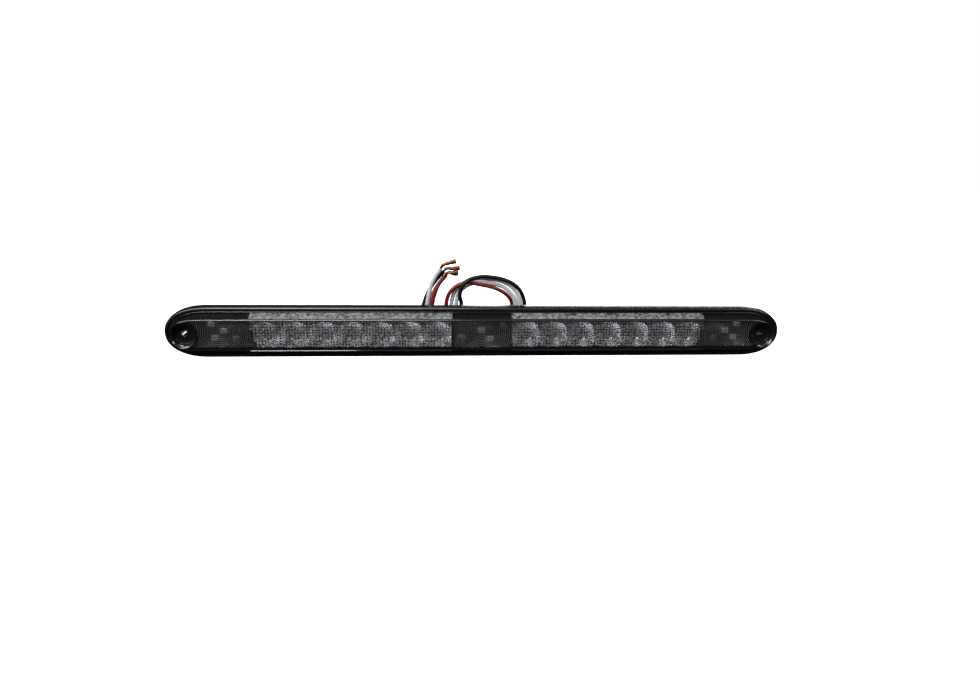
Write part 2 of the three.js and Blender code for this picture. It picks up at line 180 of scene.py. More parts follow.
def foam(name):
    """Closed-cell foam: small round cells with thin walls."""
    made, tree, shader = plain_shader(name, {"Roughness": 0.95, "Specular IOR Level": 0.2})
    here = own_coordinates(tree)
    cells = add_node(tree, "ShaderNodeTexVoronoi", {"Scale": 1 / 0.7}, feature="SMOOTH_F1")
    tree.links.new(here, cells.inputs["Vector"])
    colour = tint(tree, cells.outputs["Distance"], grey(0.006), grey(0.02))
    tree.links.new(colour, shader.inputs["Base Color"])
    raise_grain(tree, shader, cells.outputs["Distance"], 0.12)
    return made


def see_through(name, body, rough, cover, values):
    """Smoked or clear plastic: light passes straight through the part that cover leaves open."""
    made, tree, shader = plain_shader(name, {"Base Color": body, **values})
    shader.inputs["Alpha"].default_value = cover
    here = own_coordinates(tree)
    tree.links.new(remap(tree, noise(tree, here, 14.0), *rough), shader.inputs["Roughness"])
    raise_grain(tree, shader, noise(tree, here, 5.0, detail=1.0), 0.006)
    return made


def painted_glint_plastic(name, dark, light, cover):
    """The lens's side wall over a window: painted glints, light and dark specks in its colour that stand in
    for the glints of fine flutes, with a matching bump.
    """
    made, tree, shader = plain_shader(name, {"Roughness": 0.3, "IOR": 1.58, "Alpha": cover})
    fine_pattern = noise(tree, own_coordinates(tree, (1, 1, 1.6)), 2.4, detail=3.0)
    tree.links.new(tint(tree, fine_pattern, dark, light), shader.inputs["Base Color"])
    raise_grain(tree, shader, fine_pattern, 0.05)
    return made


def painted_pillow_glints(name, dark, light, cover):
    """Pillow optics: a painted glint in the middle of each dot and painted shade around it, in a regular
    pattern.
    """
    made, tree, shader = plain_shader(name, {"IOR": 1.58, "Specular IOR Level": 1.0, "Alpha": cover})
    here = own_coordinates(tree)
    grid = add_node(tree, "ShaderNodeTexVoronoi", {"Scale": 1 / PILLOW_PITCH, "Randomness": 0.3})
    tree.links.new(here, grid.inputs["Vector"])
    middle = remap(tree, grid.outputs["Distance"], 0.0, 1.7)
    # light at each dot's middle is a painted glint, dark around it is painted shade
    tree.links.new(tint(tree, middle, light, dark), shader.inputs["Base Color"])
    tree.links.new(remap(tree, noise(tree, here, 5.0), 0.12, 0.25), shader.inputs["Roughness"])
    return made


def chrome(name, rough, peel):
    """Vacuum-metallised plastic with the orange peel of its lacquer; peel is (size, height)."""
    made, tree, shader = plain_shader(name, {"Metallic": 1.0})
    here = own_coordinates(tree)
    colour = tint(tree, noise(tree, here, 4.0), (0.80, 0.80, 0.83, 1), (0.90, 0.90, 0.92, 1))
    tree.links.new(colour, shader.inputs["Base Color"])
    tree.links.new(remap(tree, noise(tree, here, 2.0), *rough), shader.inputs["Roughness"])
    raise_grain(tree, shader, noise(tree, here, peel[0], detail=2.0), peel[1])
    return made


PVC = {"IOR": 1.54}
PILLOW_PITCH = 1.9                     # from pillow to pillow of the brake optics
LOOKS = {
    "housing": moulded("housing_plastic", grey(0.005), grey(0.009), (0.16, 0.24), (0.35, 0.004)),
    "foam": foam("gasket_foam"),
    "rubber": moulded("rubber", grey(0.008), grey(0.018), (0.7, 0.85), (0.25, 0.02)),
    "lens": see_through("smoked_plastic", (0.012, 0.012, 0.013, 1), (0.02, 0.06), 0.24, {"IOR": 1.58}),
    "lens_edge": see_through(
        "smoked_plastic_thick", (0.008, 0.008, 0.009, 1), (0.03, 0.07), 0.93, {"IOR": 1.58},
    ),
    # The side wall over the windows has painted glints: light and dark specks in its colour.
    "lens_wall": painted_glint_plastic("smoked_plastic_painted_glints", grey(0.002), (0.30, 0.30, 0.31, 1), 0.6),
    "plate": see_through("clear_plate", grey(0.02), (0.05, 0.1), 0.06, {"IOR": 1.58}),
    # The ridges are real shape; their pale, nearly solid grey is a painted glint of the clear ring facets,
    # while the plate stays clear.
    "ridge": see_through(
        "ring_ridge_painted_glint", grey(0.20), (0.2, 0.3), 0.85, {"IOR": 1.58, "Specular IOR Level": 0.8},
    ),
    # Pillow optics: a painted glint in each dot's middle and painted shade around it.
    "pillow": painted_pillow_glints("pillow_optics_painted_glints", grey(0.004), (0.66, 0.66, 0.68, 1), 0.46),
    "chrome": chrome("metallised", (0.14, 0.22), (1.6, 0.02)),
    "chrome_outside": moulded(
        "metallised_outside", grey(0.45), grey(0.78), (0.2, 0.35), (0.8, 0.05), 1.4,
        values={"Metallic": 0.5},
    ),
    "board": moulded(
        "solder_mask", (0.004, 0.005, 0.005, 1), (0.008, 0.009, 0.009, 1), (0.3, 0.45), (0.5, 0.01),
    ),
    "gold": moulded(
        "gold_pads", (0.16, 0.12, 0.07, 1), (0.26, 0.21, 0.13, 1), (0.25, 0.4), (0.5, 0.01),
        values={"Metallic": 1.0},
    ),
    "white_package": moulded(
        "white_led_package", (0.46, 0.42, 0.32, 1), (0.60, 0.56, 0.44, 1), (0.3, 0.45), (0.3, 0.005),
    ),
    "package": moulded(
        "led_package", (0.16, 0.145, 0.10, 1), (0.24, 0.22, 0.16, 1), (0.35, 0.5), (0.3, 0.005),
    ),
    "emitter": moulded(
        "led_phosphor", (0.42, 0.30, 0.08, 1), (0.56, 0.42, 0.14, 1), (0.3, 0.4), (0.2, 0.004), 1.5,
        values={"Coat Weight": 0.8, "Coat Roughness": 0.08},
    ),
    "ceramic": moulded(
        "component_body", (0.012, 0.011, 0.010, 1), (0.03, 0.028, 0.026, 1), (0.4, 0.6), (0.2, 0.01),
    ),
    "tin": moulded(
        "solder", grey(0.55), grey(0.72), (0.2, 0.4), (0.6, 0.03), 1.5, values={"Metallic": 1.0},
    ),
    "aluminium": moulded(
        "aluminium_can", grey(0.55), grey(0.66), (0.25, 0.4), (0.4, 0.006), values={"Metallic": 1.0},
    ),
    "zinc": moulded(
        "zinc_plate", grey(0.42), grey(0.60), (0.22, 0.38), (0.5, 0.01), 2.5, values={"Metallic": 1.0},
    ),
    "black": moulded(
        "black_pvc", grey(0.002), grey(0.004), (0.4, 0.5), (0.6, 0.015),
        values={**PVC, "Specular IOR Level": 0.2},
    ),
    "white": moulded(
        "white_pvc", (0.40, 0.395, 0.42, 1), (0.48, 0.475, 0.50, 1), (0.30, 0.42), (0.6, 0.015),
        values=PVC,
    ),
    "red": moulded(
        "red_pvc", (0.125, 0.002, 0.003, 1), (0.16, 0.004, 0.004, 1), (0.30, 0.42), (0.6, 0.015),
        values=PVC,
    ),
    "copper": moulded(
        "bare_copper", (0.05, 0.018, 0.006, 1), (0.32, 0.13, 0.05, 1), (0.22, 0.4), (0.3, 0.01), 1.2,
        values={"Metallic": 1.0},
    ),
}


# ------------------------------------------------------------------ pieces
def add_piece(name, data, look, slot, *nodes):
    """Links a mesh or curve as a piece of the light that stands for the named CAD nodes."""
    piece = bpy.data.objects.new(name, data)
    bpy.context.collection.objects.link(piece)
    if look:
        data.materials.append(LOOKS[look])
    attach(piece, "root")
    if nodes:
        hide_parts(*nodes)
    return piece


# ------------------------------------------------------------------ leads
LEAD_DIAMETER = 2.8
LEAD_PITCH = 2.9                       # spacing of neighbouring leads

# The middle of the bundle: back out of the grommet, up behind the light, over in an arch, down
# behind the light again, round a turn and up to the stripped ends.
BUNDLE = [
    (26, 0, -3.3), (26, 0, -6.5), (26, 1.6, -11), (26, 5.6, -14.2), (26.2, 11, -15.4),
    (25.2, 17, -15.4), (21.5, 23.4, -15), (15, 28, -14.6), (7, 30.2, -14.2), (-1.5, 30.4, -14),
    (-9.5, 27.8, -14), (-15.2, 22.4, -14), (-17.6, 15.4, -14), (-17.6, 7.5, -14), (-16.6, -0.5, -14),
    (-17.8, -8, -14), (-23, -13.4, -14), (-30, -13.8, -14), (-35.6, -9, -14), (-37.4, -1.5, -14),
    (-36.8, 6.5, -14), (-35.2, 14, -14), (-33.6, 21.5, -14), (-30.8, 29, -14), (-26.2, 35.6, -14),
]

# Each lead's place in the bundle at every point of it, in lead spacings: (across, towards viewer).
LANES = {
    "black": [
        (1.5, 0), (1.5, 0), (1.5, 0), (1.5, 0), (1.5, 0), (1.5, 0), (1.4, 0.3), (1.1, 0.5), (0.9, 0.5),
        (0.95, 1.1), (0.8, 1.65), (-0.4, 1.55), (-1.5, 0.5), (-1.45, 0), (-1.4, 0.4), (-0.8, 0.6),
        (-0.55, 0.55), (-0.9, 0.6), (-1.45, 0.25), (-1.4, -0.1), (-1.3, -0.4), (-1.15, -0.5),
        (-0.7, -0.6), (-0.1, -0.7), (0.2, -0.6),
    ],
    "white_a": [
        (0.5, 0), (0.5, 0), (0.5, 0), (0.5, 0), (0.5, 0), (0.5, 0), (0.4, -0.35), (0.3, -0.5),
        (0.22, -0.55), (0.3, -0.55), (0.5, -0.55), (0.6, -0.5), (0.75, -0.4), (0.75, -0.2), (0.6, -0.4),
        (0.5, -0.5), (0.55, -0.55), (0.55, -0.55), (0.55, -0.55), (0.5, -0.55), (0.35, -0.6),
        (0.3, -0.65), (0.5, -0.62), (0.95, -0.6), (1.24, -0.5),
    ],
    "white_b": [
        (-0.5, 0), (-0.5, 0), (-0.5, 0), (-0.5, 0), (-0.5, 0), (-0.5, 0), (-0.7, -0.2), (-0.72, -0.4),
        (-0.76, -0.5), (-0.7, -0.55), (-0.5, -0.55), (-0.4, -0.55), (-0.35, -0.4), (-0.35, -0.2),
        (-0.4, -0.4), (-0.5, -0.5), (-0.5, -0.55), (-0.55, -0.45), (-0.5, -0.1), (-0.4, 0.15),
        (-0.4, 0.4), (-0.4, 0.5), (-0.5, 0.5), (-0.65, 0.5), (-0.8, 0.5),
    ],
    "red": [
        (-1.5, 0), (-1.5, 0), (-1.5, 0), (-1.5, 0), (-1.5, 0), (-1.5, 0), (-1.65, 0.3), (-1.65, 0.4),
        (-1.4, 0.5), (-0.9, 0.5), (0.5, 0.6), (1.5, 0.5), (1.95, 0.2), (1.85, 0.2), (1.4, 0.4),
        (0.8, 0.6), (0.55, 0.55), (0.6, 0.5), (0.7, 0.6), (0.75, 0.6), (0.75, 0.6), (0.75, 0.55),
        (0.8, 0.55), (0.9, 0.5), (0.95, 0.5),
    ],
}
# Where the copper's tip ends up from the end of the insulation: (to the right, up).
COPPER_REACH = {"black": (10.8, 2.6), "white_a": (7.6, 1.2), "white_b": (10.3, 5.1), "red": (8.9, 2.8)}
EXTRA_LENGTH = {"black": 1.0, "white_a": 0, "white_b": 2.0, "red": -0.6}      # past the bundle's end
STRAND_RADIUS = 0.3
STRAND_COUNT = 12                      # one in the middle and the rest twisted around it
STRAND_STATIONS = 13                   # points along a strand
STRAND_TWIST = 0.09                    # turns from one point to the next
LEG_STEPS = 20                         # cuts in each leg of the copper's path


def lead_points(name):
    """Points of one lead in millimetres: the bundle's, moved sideways square to its direction."""
    middle = [Vector(p) for p in BUNDLE]
    points = []
    for k, point in enumerate(middle):
        along = (middle[min(k + 1, len(middle) - 1)] - middle[max(k - 1, 0)]).normalized()
        across = Vector((along.y + 0.001, -along.x, 0)).normalized()
        front = across.cross(along)
        sideways, forwards = LANES[name][k]
        points.append(point + (across * sideways + front * forwards) * LEAD_PITCH)
    points[-1] += (points[-1] - points[-2]).normalized() * EXTRA_LENGTH[name]
    return points


def smooth_line(name, lines, radius, steps=10):
    """A curve object's data with one round-ended smooth tube along each line of points."""
    curve = bpy.data.curves.new(name, "CURVE")
    curve.dimensions = "3D"
    curve.bevel_depth = radius * MM
    curve.bevel_resolution = 5
    curve.resolution_u = steps
    curve.use_fill_caps = True
    for points in lines:
        spline = curve.splines.new("BEZIER")
        spline.bezier_points.add(len(points) - 1)
        for knot, point in zip(spline.bezier_points, points):
            knot.co = place(*point)
            knot.handle_left_type = knot.handle_right_type = "AUTO"
    return curve


def strands(end, direction, reach, rise):
    """Twisted strands that leave the insulation along it, droop over and fray a little."""
    path = [
        end - direction * 1.0,
        end + direction * 2.4,
        end + Vector((reach * 0.62, rise * 0.78, 0)),
        end + Vector((reach, rise, 0)),
    ]
    tangents = [direction, (path[2] - path[0]).normalized(), (path[3] - path[1]).normalized()]
    tangents.append((path[3] - path[2]).normalized())
    lines = [[] for _ in range(STRAND_COUNT)]
    for k in range(STRAND_STATIONS):
        t = k / (STRAND_STATIONS - 1) * (len(path) - 1)
        leg = min(int(t), len(path) - 2)
        chord = (path[leg + 1] - path[leg]).length / 3
        bezier = interpolate_bezier(
            path[leg], path[leg] + tangents[leg] * chord,
            path[leg + 1] - tangents[leg + 1] * chord, path[leg + 1], LEG_STEPS + 1,
        )
        middle = bezier[round((t - leg) * LEG_STEPS)]
        along = tangents[leg].lerp(tangents[leg + 1], t - leg).normalized()
        side = along.cross(Vector((0, 0, 1))).normalized()
        front = side.cross(along)
        for strand in range(1, STRAND_COUNT):
            angle = 2 * math.pi * (strand / (STRAND_COUNT - 1) + STRAND_TWIST * k)
            spread = STRAND_RADIUS * (1.7 + (1.6 + strand % 3) * k / STRAND_STATIONS)
            lines[strand].append(middle + (side * math.cos(angle) + front * math.sin(angle)) * spread)
        lines[0].append(middle)
    return lines


def add_lead(name):
    points = lead_points(name)
    data = smooth_line(f"lead_{name}", [points], LEAD_DIAMETER / 2)
    colour = name.split("_")[0]
    lead = add_piece(f"wire_{name}", data, colour, f"{colour}_pvc", f"lead_{name}")
    direction = (points[-1] - points[-2]).normalized()
    lines = strands(points[-1], direction, *COPPER_REACH[name])
    bare = smooth_line(f"copper_{name}", lines, STRAND_RADIUS, 3)
    copper = add_piece(f"wire_{name}_strands", bare, "copper", "copper", f"lead_{name}_copper")


for lead_name in LANES:
    add_lead(lead_name)


# ------------------------------------------------------------------ outlines and solids
BAR = (203.8, 16.9, 27.0)              # housing outline: half length, half height, nose length
LENS_BASE = (199.5, 13.2, 22.0)        # the lens where it rises out of the housing
LENS_TOP = (198.6, 10.5, 17.0)         # and around its front face
NOSE_POWER = 2.2
NOSE_STEPS = 44
STRAIGHT_STOPS = (149.1, 19.5, -19.5, -149.1)      # x of extra points, level with the windows' ends


def bar_outline(shape, inset=0.0):
    """Straight top and bottom edges with a superellipse nose on each end, counter-clockwise."""
    half_length, half_height, nose = (size - inset for size in shape)
    points = []
    for side in (1, -1):
        for k in range(NOSE_STEPS + 1):
            angle = -math.pi / 2 + math.pi * k / NOSE_STEPS
            across = max(math.cos(angle), 0.0) ** (2 / NOSE_POWER)
            up = math.copysign(abs(math.sin(angle)) ** (2 / NOSE_POWER), math.sin(angle))
            points.append((side * (half_length - nose + nose * across), side * half_height * up))
        points += [(side * x, side * half_height) for x in STRAIGHT_STOPS]
    return points


def rounded_rectangle(half_width, half_height, corner, steps=6):
    points = []
    for quarter, (sx, sy) in enumerate(((1, -1), (1, 1), (-1, 1), (-1, -1))):
        for k in range(steps + 1):
            angle = (quarter + k / steps - 1) * math.pi / 2
            points.append((
                sx * (half_width - corner) + corner * math.cos(angle),
                sy * (half_height - corner) + corner * math.sin(angle),
            ))
    return points


def circle(radius, steps=48):
    return [
        (radius * math.cos(2 * math.pi * k / steps), radius * math.sin(2 * math.pi * k / steps))
        for k in range(steps)
    ]


def moved(outline, x, up=0.0):
    return [(px + x, py + up) for px, py in outline]


def arc(centre_inset, centre_forward, radius, start, end, steps=5):
    """(inset, forward) steps of a rounded edge; 0 degrees points inwards and 90 forwards."""
    return [
        (centre_inset + radius * math.cos(math.radians(start + (end - start) * k / steps)),
         centre_forward + radius * math.sin(math.radians(start + (end - start) * k / steps)))
        for k in range(steps + 1)
    ]


def loft(name, rings):
    """A closed mesh through rings of (outline, forward) with equal point counts, ends filled."""
    count = len(rings[0][0])
    points = [place(x, up, forward) for outline, forward in rings for x, up in outline]
    faces = [
        (ring * count + k, ring * count + (k + 1) % count,
         (ring + 1) * count + (k + 1) % count, (ring + 1) * count + k)
        for ring in range(len(rings) - 1) for k in range(count)
    ]
    last = (len(rings) - 1) * count
    faces.append(tuple(reversed(range(count))))
    faces.append(tuple(range(last, last + count)))
    mesh = bpy.data.meshes.new(name)
    mesh.from_pydata(points, [], faces)
    return mesh


def prism(name, outline, back, front):
    return loft(name, [(outline, back), (outline, front)])


def turned(name, profile, x, up=0.0, steps=48):
    """A round solid about an axis that points forward; profile is (radius, forward) pairs."""
    return loft(name, [
        (moved(circle(max(radius, 0.001), steps), x, up), forward) for radius, forward in profile
    ])


def merged(name, meshes):
    """One mesh made of several; every part keeps its own materials."""
    looks = []
    points, faces, slots = [], [], []
    for mesh in meshes:
        base = len(points)
        points.extend(vertex.co.copy() for vertex in mesh.vertices)
        for face in mesh.polygons:
            look = mesh.materials[face.material_index] if mesh.materials else None
            if look not in looks:
                looks.append(look)
            faces.append(tuple(base + k for k in face.vertices))
            slots.append(looks.index(look))
    joined = bpy.data.meshes.new(name)
    joined.from_pydata(points, [], faces)
    for look in looks:
        joined.materials.append(look)
    joined.polygons.foreach_set("material_index", slots)
    return joined


def painted(mesh, look):
    mesh.materials.clear()
    mesh.materials.append(LOOKS[look])
    return mesh


def combine(mesh, tools, operation="DIFFERENCE"):
    """The mesh after adding, cutting or intersecting it with each tool mesh; all are used up."""
    body = bpy.data.objects.new("body", mesh)
    bpy.context.collection.objects.link(body)
    for tool_mesh in tools:
        tool = bpy.data.objects.new("tool", tool_mesh)
        bpy.context.collection.objects.link(tool)
        change = body.modifiers.new("change", "BOOLEAN")
        change.operation, change.solver, change.object = operation, "EXACT", tool
        change.material_mode = "TRANSFER"
        bpy.context.view_layer.update()
        graph = bpy.context.evaluated_depsgraph_get()
        result = bpy.data.meshes.new_from_object(body.evaluated_get(graph))
        body.modifiers.clear()
        body.data = result
        bpy.data.objects.remove(tool)
    bpy.data.objects.remove(body)
    return result


def soften(piece, angle=38):
    """Smooth shading with crisp edges, and normals that keep large flat faces flat."""
    piece.data.shade_smooth()
    piece.data.set_sharp_from_angle(angle=math.radians(angle))
    weighted = piece.modifiers.new("weighted", "WEIGHTED_NORMAL")
    weighted.keep_sharp = True
    return piece


# ------------------------------------------------------------------ housing
GASKET_FRONT = 1.6
FLOOR_FRONT = 3.4                      # inside floor of the housing
RIM_FRONT = 9.4
WALL = 2.2
LEDGE_INSET, LEDGE_FRONT = 3.4, 6.0
RIM_SHOULDER, RIM_LEAN, RIM_RADIUS = 5.8, 0.3, 1.1      # the side leans in up to a rounded rim
SCREW_X, SCREW_HOLE, SCREW_BOSS = 190.2, 2.1, 5.6
SIDES = (-1, 1)
BOARD_SCREWS = {"left": (-159.2, -5.0), "center": (14.4, 3.6), "right": (159.2, -5.0)}
RIBS = (-172, -112, -56, 56, 112, 172)
GROMMET_X = 26


def make_housing():
    """An open tray with rounded rims, a ledge for the lens, ribs, screw bosses and board pillars."""
    profile = [(1.2, GASKET_FRONT), (0.5, GASKET_FRONT)]
    profile += [(0.5 - 0.5 * math.sin(math.pi * k / 8), GASKET_FRONT + 0.5 - 0.5 * math.cos(math.pi * k / 8))
                for k in range(1, 5)]
    profile += [(0, 4.6), (0.2, 4.9), (0.2, 5.2), (0, 5.5), (0, RIM_SHOULDER)]
    profile += arc(RIM_LEAN + RIM_RADIUS, RIM_FRONT - RIM_RADIUS, RIM_RADIUS, 175, 90, 9)
    profile += [
        (WALL - 0.15, RIM_FRONT), (WALL, RIM_FRONT - 0.2), (WALL, LEDGE_FRONT), (LEDGE_INSET, LEDGE_FRONT),
        (LEDGE_INSET, FLOOR_FRONT), (LEDGE_INSET + 0.8, FLOOR_FRONT),
    ]
    tray = loft("tray", [(bar_outline(BAR, inset), forward) for inset, forward in profile])
    sunk = FLOOR_FRONT - 0.5
    added = [turned("boss", [(SCREW_BOSS, sunk), (SCREW_BOSS, 8.7), (SCREW_BOSS - 0.3, 9.0)], side * SCREW_X)
             for side in SIDES]
    added += [turned("pillar", [(3.2, sunk), (3.0, 4.9)], x, up, 32) for x, up in BOARD_SCREWS.values()]
    added += [prism("rib", moved(rounded_rectangle(0.8, 11, 0.3, 2), x), sunk, 4.9) for x in RIBS]
    holes = [turned("hole", [(SCREW_HOLE, 0), (SCREW_HOLE, 10)], side * SCREW_X) for side in SIDES]
    holes += [turned("hole", [(1.4, 2.6), (1.4, 10)], x, up, 24) for x, up in BOARD_SCREWS.values()]
    holes.append(prism("cable_hole", moved(rounded_rectangle(6.5, 2.5, 2.49), GROMMET_X), 0, 5))
    for mesh in [tray, *added, *holes]:
        painted(mesh, "housing")
    mesh = combine(combine(tray, added, "UNION"), holes)
    soften(add_piece("housing", mesh, None, "black_housing", "rear_housing"))


# ------------------------------------------------------------------ lens
LENS_SEAT, LENS_SKIRT = 6.9, 8.3       # back and front of the lens's skirt
LENS_FRONT = 16.8
LENS_WALL, LENS_FACE_WALL = 1.7, 2.0
LENS_EDGE = 0.8                        # radius around the front face
FILLET = 0.7                           # where the dome meets its skirt
RECESS_FLOOR, RECESS_RADIUS, RECESS_LIP, RECESS_WALL = 11.0, 6.6, 8.4, 2.2
RECESS_FUNNEL = 1.8                    # depth over which the recess widens to its lip
GLINT_FROM, GLINT_TO = 19, 150         # stretch of the lens's side wall with the painted glints, from the middle
RIB_UP, RIB_HALF_HEIGHT = -10.2, 0.32  # the low rib under each window
RIB_PROFILE = ((0, 15.8), (0, 16.75), (0.24, 17.0))      # its (inset, forward) steps


def lens_shape(forward):
    """The dome's outline at a height: it leans in from its skirt to its front face."""
    rise = (forward - LENS_SKIRT) / (LENS_FRONT - LENS_EDGE - LENS_SKIRT)
    rise = min(max(rise, 0.0), 1.0)
    return tuple(low + (high - low) * rise for low, high in zip(LENS_BASE, LENS_TOP))


def lens_ring(inset, forward):
    return bar_outline(lens_shape(forward), inset), forward


def make_lens():
    """The smoked cover: a thin domed shell with a skirt, rounded edges and two screw recesses."""
    inner_front = LENS_FRONT - LENS_FACE_WALL
    skirt = (BAR[0] - WALL - 0.3, BAR[1] - WALL - 0.3, BAR[2] - WALL - 0.3)
    rings = [lens_ring(LENS_WALL + 1.2, inner_front), lens_ring(LENS_WALL + 0.4, inner_front)]
    rings += [lens_ring(LENS_WALL, forward) for forward in (inner_front - 0.4, 12.5, 10.4, LENS_SKIRT)]
    skirt_from = len(rings)
    rings += [lens_ring(LENS_WALL, LENS_SEAT)]
    rings += [(bar_outline(skirt), LENS_SEAT), (bar_outline(skirt), LENS_SKIRT - 0.2)]
    rings += [(bar_outline(skirt, 0.2), LENS_SKIRT)]
    for k in range(5):
        angle = math.pi / 2 * k / 4
        rings.append((
            bar_outline(LENS_BASE, -FILLET * (1 - math.sin(angle))),
            LENS_SKIRT + FILLET * (1 - math.cos(angle)),
        ))
    skirt_to = len(rings) - 1
    rings += [lens_ring(0, forward) for forward in (11.2, 13.4, 15.2)]
    edge_from = len(rings)
    for k in range(7):
        angle = math.pi / 2 * k / 6
        rings.append((
            bar_outline(LENS_TOP, LENS_EDGE * (1 - math.cos(angle))),
            LENS_FRONT - LENS_EDGE + LENS_EDGE * math.sin(angle),
        ))
    edge_to = len(rings)
    rings.append((bar_outline(LENS_TOP, LENS_EDGE + 0.5), LENS_FRONT))
    shell = painted(loft("shell", rings), "lens")
    shell.materials.append(LOOKS["lens_edge"])
    shell.materials.append(LOOKS["lens_wall"])
    count = len(rings[0][0])
    for face in shell.polygons:
        ring = face.index // count
        if skirt_from <= ring < skirt_to or edge_from - 1 <= ring < edge_to:
            face.material_index = 1
        # side wall faces over the windows get the painted glints
        elif skirt_to <= ring < edge_from and GLINT_FROM < abs(face.center.x / MM) < GLINT_TO:
            face.material_index = 2

    cups, recesses = [], []
    for side in SIDES:
        cup = turned("cup", [(RECESS_RADIUS + RECESS_WALL, RECESS_FLOOR - 1.5),
                             (RECESS_RADIUS + RECESS_WALL, inner_front + 0.5)], side * SCREW_X)
        room = loft("room", [lens_ring(0.6, forward) for forward in (5, LENS_SKIRT, inner_front + 0.6)])
        cup = combine(painted(cup, "lens_edge"), [painted(room, "lens_edge")], "INTERSECT")
        cups.append(painted(cup, "lens_edge"))
        profile = [
            (RECESS_RADIUS - 0.6, RECESS_FLOOR), (RECESS_RADIUS - 0.2, RECESS_FLOOR + 0.15),
            (RECESS_RADIUS, RECESS_FLOOR + 0.6), (RECESS_RADIUS + 0.1, LENS_FRONT - RECESS_FUNNEL - 0.5),
        ]
        profile += [(RECESS_RADIUS + 0.1 + (RECESS_LIP - RECESS_RADIUS) * (k / 8) ** 1.5,
                     LENS_FRONT - RECESS_FUNNEL * (1 - k / 8)) for k in range(9)]
        profile.append((RECESS_LIP + 0.1, LENS_FRONT + 1))
        recesses.append(painted(turned("recess", profile, side * SCREW_X, 0, 64), "lens_edge"))
        hole = turned("hole", [(SCREW_HOLE, 5), (SCREW_HOLE, 12)], side * SCREW_X)
        recesses.append(painted(hole, "lens_edge"))
    ribs = []
    for side in SIDES:
        steps = []
        for inset, forward in RIB_PROFILE:
            outline = rounded_rectangle(WINDOW_HALF - 0.5 - inset, RIB_HALF_HEIGHT - inset, 0.05, 2)
            steps.append((moved(outline, side * WINDOW_X, RIB_UP), forward))
        ribs.append(painted(loft("rib", steps), "lens_edge"))
    mesh = combine(combine(shell, cups + ribs, "UNION"), recesses)
    soften(add_piece("lens", mesh, None, "smoked_lens", "smoked_lens"))


# ------------------------------------------------------------------ optics behind the front face
OPTIC_FRONT = 14.7                     # tops of the pillows, just behind the lens's front wall
WINDOW_X, WINDOW_HALF, WINDOW_HALF_HEIGHT = 84.3, 64.8, 8.6
WINDOW_SLANT = 4.0                     # how far the outer end leans in towards its bottom
WINDOW_CORNER = 2.2
PILLOW_RISE, PILLOW_CUTS = 0.24, 4     # height of a pillow, and faces along each of its sides
RING_PITCH, RING_HEIGHT, RING_SPOKES = 1.34, 0.2, 144
ID_HALF_HEIGHT = 8.9                   # of the ringed sections
WINDOW_GAP = 0.7                       # between a window and the rings beside it
RING_PROFILE = ((0.32, 0), (0.5, 1), (0.68, 0), (1, 0))       # (part of the pitch, part of the height)
PLATE_FRONT = 14.4
ID_X = 166.8
CUP_RADIUS = RECESS_RADIUS + RECESS_WALL


def in_window(x, up, margin=0.0):
    """Whether a point lies in the left or right window; the outer end leans in downwards."""
    outward = abs(x) - WINDOW_X
    end = WINDOW_HALF - WINDOW_SLANT * (0.5 - up / (2 * WINDOW_HALF_HEIGHT)) - margin
    if outward > end or outward < margin - WINDOW_HALF or abs(up) > WINDOW_HALF_HEIGHT - margin:
        return False
    corner_x = -outward - (WINDOW_HALF - margin - WINDOW_CORNER)
    corner_up = abs(up) - (WINDOW_HALF_HEIGHT - margin - WINDOW_CORNER)
    return corner_x < 0 or corner_up < 0 or math.hypot(corner_x, corner_up) < WINDOW_CORNER


def pillow_sheet(name, side):
    """Rows of tiny pillow lenses over one window, each domed towards the viewer."""
    points, faces = [], []
    steps = [k / PILLOW_CUTS - 0.5 for k in range(PILLOW_CUTS + 1)]
    columns, rows = round(2 * WINDOW_HALF / PILLOW_PITCH), round(2 * WINDOW_HALF_HEIGHT / PILLOW_PITCH)
    for column in range(columns):
        for row in range(rows):
            x = side * (WINDOW_X + (column + 0.5 - columns / 2) * PILLOW_PITCH)
            up = (row + 0.5 - rows / 2) * PILLOW_PITCH
            if not in_window(x, up):
                continue
            base = len(points)
            for u in steps:
                for v in steps:
                    dome = OPTIC_FRONT - PILLOW_RISE * 2 * (u * u + v * v)
                    points.append(place(x + u * PILLOW_PITCH, up + v * PILLOW_PITCH, dome))
            for i in range(PILLOW_CUTS):
                for j in range(PILLOW_CUTS):
                    corner = base + i * (PILLOW_CUTS + 1) + j
                    faces.append((corner, corner + PILLOW_CUTS + 1, corner + PILLOW_CUTS + 2, corner + 1))
    mesh = bpy.data.meshes.new(name)
    mesh.from_pydata(points, [], faces)
    mesh.shade_smooth()
    return mesh


def in_id_section(x, up):
    """Whether a point lies in one of the three ringed sections, clear of windows and recesses."""
    if abs(up) > ID_HALF_HEIGHT or in_window(x, up, -WINDOW_GAP):
        return False
    if abs(x) < WINDOW_X - WINDOW_HALF - WINDOW_GAP:
        return True
    if abs(x) < WINDOW_X or math.hypot(abs(x) - SCREW_X, up) < CUP_RADIUS + 0.3:
        return False
    half_length, half_height, nose = (size - LENS_WALL - 0.5 for size in LENS_TOP)
    past = max(abs(x) - (half_length - nose), 0.0) / nose
    return past ** NOSE_POWER + abs(up / half_height) ** NOSE_POWER < 1


